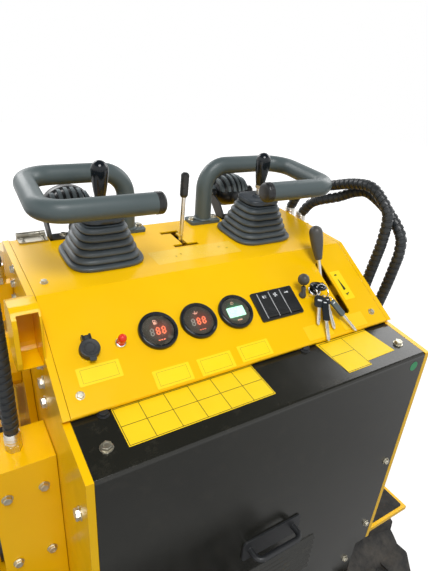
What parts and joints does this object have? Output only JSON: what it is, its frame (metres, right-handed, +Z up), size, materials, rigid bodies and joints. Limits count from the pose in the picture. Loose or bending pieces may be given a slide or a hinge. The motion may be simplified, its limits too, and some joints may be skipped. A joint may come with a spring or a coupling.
{
  "type": "compact track loader",
  "caption": "Stand-on compact loader on rubber tracks: control console with handles and joysticks, hinged hood, lift arms and bucket.",
  "frame": {"origin": "middle of the outline on the ground", "axes": "+X the operator's right, +Y the way it travels, +Z up"},
  "size_m": [0.94, 2.2214, 1.2637],
  "materials": {
    "yellow": "powder coat",
    "black_paint": "satin",
    "gloss_black": "gloss",
    "grey_paint": "satin",
    "rubber": "matt",
    "track_rubber": "matt",
    "steel": "worn",
    "stainless": "brushed",
    "chrome": "polished",
    "cast": "cast",
    "red_lens": "gloss",
    "black_plastic": "satin",
    "knob_black": "gloss"
  },
  "bodies": {
    "machine_body": {"chassis_frame": "yellow", "side_panel_left": "yellow", "side_panel_right": "yellow", "rear_cover": "gloss_black", "engine": "cast", "track_frame_left": "yellow", "track_frame_right": "yellow", "track_belt_left": "track_rubber", "track_belt_right": "track_rubber", "hose_right_outer": "rubber", "hose_right_inner": "rubber", "hose_left": "rubber"},
    "console": {"console_cover": "yellow", "gauge_fuel": "black_plastic", "gauge_oil": "black_plastic", "gauge_hours": "black_plastic", "switch_bezel": "black_plastic", "ignition_lock": "chrome", "power_socket": "black_plastic", "indicator_lamp": "red_lens", "handle_left": "grey_paint", "handle_right": "grey_paint", "gaiter_left": "rubber", "gaiter_right": "rubber", "cover_hinge_left": "stainless", "cover_hinge_right": "stainless", "key_bunch": "chrome"},
    "stick_fork_left": {"gimbal_left": "steel"},
    "stick_fork_right": {"gimbal_right": "steel"},
    "stick_left": {"joystick_left": "knob_black"},
    "stick_right": {"joystick_right": "knob_black"},
    "lamp_switch": {"rocker_lamp": "black_plastic"},
    "fan_switch": {"rocker_fan": "black_plastic"},
    "horn_switch": {"rocker_horn": "black_plastic"},
    "key": {"ignition_key": "black_plastic"},
    "choke": {"choke_knob": "grey_paint"},
    "throttle": {"throttle_lever": "grey_paint"},
    "auxiliary_lever": {"gate_lever": "steel"},
    "socket_lid": {"socket_cap": "rubber"},
    "light_left": {"work_light_left": "black_plastic"},
    "light_right": {"work_light_right": "black_plastic"},
    "hood": {"engine_hood": "yellow"},
    "platform": {"operator_platform": "black_paint"},
    "arms": {"loader_arms": "yellow"},
    "lift_cylinder_left": {"lift_barrel_left": "black_paint"},
    "lift_cylinder_right": {"lift_barrel_right": "black_paint"},
    "lift_ram_left": {"lift_rod_left": "chrome"},
    "lift_ram_right": {"lift_rod_right": "chrome"},
    "tilt_cylinder": {"tilt_barrel": "black_paint"},
    "tilt_ram": {"tilt_rod": "chrome"},
    "attachment": {"attachment_plate": "black_paint", "bucket": "yellow"},
    "sprocket_left": {"drive_sprocket_left": "steel"},
    "sprocket_right": {"drive_sprocket_right": "steel"},
    "idler_left": {"front_idler_left": "steel"},
    "idler_right": {"front_idler_right": "steel"},
    "rear_roller_left": {"roller_rear_left": "steel"},
    "rear_roller_right": {"roller_rear_right": "steel"},
    "front_roller_left": {"roller_front_left": "steel"},
    "front_roller_right": {"roller_front_right": "steel"}
  },
  "joints": [
    {"name": "console_cover_opens", "type": "hinge", "parent": "machine_body", "child": "console", "pos_m": [0, -0.34254, 1.11662], "axis": [-1, 0, 0], "range_deg": [0, 40]},
    {"name": "stick_left_fore_aft", "type": "hinge", "parent": "console", "child": "stick_fork_left", "pos_m": [-0.163, -0.44917, 1.09366], "axis": [1, 0, 0], "range_deg": [-13, 13], "stiffness_Nm_per_rad": 4, "deforming": ["gaiter_left"]},
    {"name": "stick_left_sideways", "type": "hinge", "parent": "stick_fork_left", "child": "stick_left", "pos_m": [-0.163, -0.44917, 1.09366], "axis": [0, 0.9983, 0.0581], "range_deg": [-13, 13], "stiffness_Nm_per_rad": 4, "deforming": ["gaiter_left"]},
    {"name": "stick_right_fore_aft", "type": "hinge", "parent": "console", "child": "stick_fork_right", "pos_m": [0.15, -0.44717, 1.09377], "axis": [1, 0, 0], "range_deg": [-13, 13], "stiffness_Nm_per_rad": 4, "deforming": ["gaiter_right"]},
    {"name": "stick_right_sideways", "type": "hinge", "parent": "stick_fork_right", "child": "stick_right", "pos_m": [0.15, -0.44717, 1.09377], "axis": [0, 0.9983, 0.0581], "range_deg": [-13, 13], "stiffness_Nm_per_rad": 4, "deforming": ["gaiter_right"]},
    {"name": "lamp_switch_rocks", "type": "hinge", "parent": "console", "child": "lamp_switch", "pos_m": [0.05933, -0.62648, 1.04468], "axis": [1, 0, 0], "range_deg": [0, 14]},
    {"name": "fan_switch_rocks", "type": "hinge", "parent": "console", "child": "fan_switch", "pos_m": [0.083, -0.62648, 1.04468], "axis": [1, 0, 0], "range_deg": [0, 14]},
    {"name": "horn_switch_rocks", "type": "hinge", "parent": "console", "child": "horn_switch", "pos_m": [0.10667, -0.62648, 1.04468], "axis": [1, 0, 0], "range_deg": [0, 14]},
    {"name": "key_turns", "type": "hinge", "parent": "console", "child": "key", "pos_m": [0.163, -0.6244, 1.05073], "axis": [0, 0.5355, -0.8445], "range_deg": [0, 45]},
    {"name": "choke_pulls", "type": "slide", "parent": "console", "child": "choke", "axis": [0, -0.5355, 0.8445], "range_m": [0, 0.035]},
    {"name": "throttle_swings", "type": "hinge", "parent": "console", "child": "throttle", "pos_m": [0.209, -0.60749, 1.02593], "axis": [1, 0, 0], "range_deg": [-4, 108]},
    {"name": "auxiliary_lever_swings", "type": "hinge", "parent": "console", "child": "auxiliary_lever", "pos_m": [-0.007, -0.43195, 1.02153], "axis": [1, 0, 0], "range_deg": [-23, 13]},
    {"name": "socket_lid_opens", "type": "hinge", "parent": "console", "child": "socket_lid", "pos_m": [-0.243, -0.61828, 1.06349], "axis": [-1, 0, 0], "range_deg": [0, 100]},
    {"name": "light_left_tilts", "type": "hinge", "parent": "console", "child": "light_left", "pos_m": [-0.175, -0.3187, 1.15], "axis": [1, 0, 0], "range_deg": [-20, 20]},
    {"name": "light_right_tilts", "type": "hinge", "parent": "console", "child": "light_right", "pos_m": [0.176, -0.3187, 1.154], "axis": [1, 0, 0], "range_deg": [-20, 20]},
    {"name": "hood_opens", "type": "hinge", "parent": "machine_body", "child": "hood", "pos_m": [0, -0.2392, 1.045], "axis": [1, 0, 0], "range_deg": [0, 50]},
    {"name": "platform_folds", "type": "hinge", "parent": "machine_body", "child": "platform", "pos_m": [0, -0.8107, 0.235], "axis": [-1, 0, 0], "range_deg": [0, 84]},
    {"name": "arms_lift", "type": "hinge", "parent": "machine_body", "child": "arms", "pos_m": [0, -0.4267, 0.93], "axis": [1, 0, 0], "range_deg": [0, 68]},
    {"name": "lift_cylinder_left_turns", "type": "hinge", "parent": "machine_body", "child": "lift_cylinder_left", "pos_m": [-0.381, -0.46851, 0.53219], "axis": [1, 0, 0], "range_deg": [0, 34]},
    {"name": "lift_ram_left_turns", "type": "hinge", "parent": "arms", "child": "lift_ram_left", "pos_m": [-0.381, -0.06718, 0.75465], "axis": [1, 0, 0], "range_deg": [-34, 0]},
    {"name": "lift_cylinder_right_turns", "type": "hinge", "parent": "machine_body", "child": "lift_cylinder_right", "pos_m": [0.381, -0.46851, 0.53219], "axis": [1, 0, 0], "range_deg": [0, 34]},
    {"name": "lift_ram_right_turns", "type": "hinge", "parent": "arms", "child": "lift_ram_right", "pos_m": [0.381, -0.06718, 0.75465], "axis": [1, 0, 0], "range_deg": [-34, 0]},
    {"name": "attachment_tilts", "type": "hinge", "parent": "arms", "child": "attachment", "pos_m": [0, 0.5433, 0.18], "axis": [1, 0, 0], "range_deg": [-42, 20]},
    {"name": "tilt_cylinder_turns", "type": "hinge", "parent": "arms", "child": "tilt_cylinder", "pos_m": [0, 0.26715, 0.29722], "axis": [1, 0, 0], "range_deg": [-21, 10]},
    {"name": "tilt_ram_turns", "type": "hinge", "parent": "attachment", "child": "tilt_ram", "pos_m": [0, 0.66052, 0.45615], "axis": [1, 0, 0], "range_deg": [-10, 21]},
    {"name": "sprocket_left_spins", "type": "hinge", "parent": "machine_body", "child": "sprocket_left", "pos_m": [-0.37, -0.6767, 0.255], "axis": [-1, 0, 0], "continuous": true},
    {"name": "idler_left_spins", "type": "hinge", "parent": "machine_body", "child": "idler_left", "pos_m": [-0.37, 0.2433, 0.1918], "axis": [-1, 0, 0], "continuous": true},
    {"name": "rear_roller_left_spins", "type": "hinge", "parent": "machine_body", "child": "rear_roller_left", "pos_m": [-0.37, -0.4167, 0.0998], "axis": [-1, 0, 0], "continuous": true},
    {"name": "front_roller_left_spins", "type": "hinge", "parent": "machine_body", "child": "front_roller_left", "pos_m": [-0.37, -0.0967, 0.0998], "axis": [-1, 0, 0], "continuous": true},
    {"name": "sprocket_right_spins", "type": "hinge", "parent": "machine_body", "child": "sprocket_right", "pos_m": [0.37, -0.6767, 0.255], "axis": [-1, 0, 0], "continuous": true},
    {"name": "idler_right_spins", "type": "hinge", "parent": "machine_body", "child": "idler_right", "pos_m": [0.37, 0.2433, 0.1918], "axis": [-1, 0, 0], "continuous": true},
    {"name": "rear_roller_right_spins", "type": "hinge", "parent": "machine_body", "child": "rear_roller_right", "pos_m": [0.37, -0.4167, 0.0998], "axis": [-1, 0, 0], "continuous": true},
    {"name": "front_roller_right_spins", "type": "hinge", "parent": "machine_body", "child": "front_roller_right", "pos_m": [0.37, -0.0967, 0.0998], "axis": [-1, 0, 0], "continuous": true}
  ],
  "couplings": [
    {"joint": "lift_cylinder_left_turns", "follows": "arms_lift", "ratio": 0.5},
    {"joint": "lift_ram_left_turns", "follows": "arms_lift", "ratio": -0.5},
    {"joint": "lift_cylinder_right_turns", "follows": "arms_lift", "ratio": 0.5},
    {"joint": "lift_ram_right_turns", "follows": "arms_lift", "ratio": -0.5},
    {"joint": "tilt_cylinder_turns", "follows": "attachment_tilts", "ratio": 0.5},
    {"joint": "tilt_ram_turns", "follows": "attachment_tilts", "ratio": -0.5},
    {"joint": "idler_left_spins", "follows": "sprocket_left_spins", "ratio": 0.86486},
    {"joint": "rear_roller_left_spins", "follows": "sprocket_left_spins", "ratio": 2.2857},
    {"joint": "front_roller_left_spins", "follows": "sprocket_left_spins", "ratio": 2.2857},
    {"joint": "idler_right_spins", "follows": "sprocket_right_spins", "ratio": 0.86486},
    {"joint": "rear_roller_right_spins", "follows": "sprocket_right_spins", "ratio": 2.2857},
    {"joint": "front_roller_right_spins", "follows": "sprocket_right_spins", "ratio": 2.2857}
  ]
}
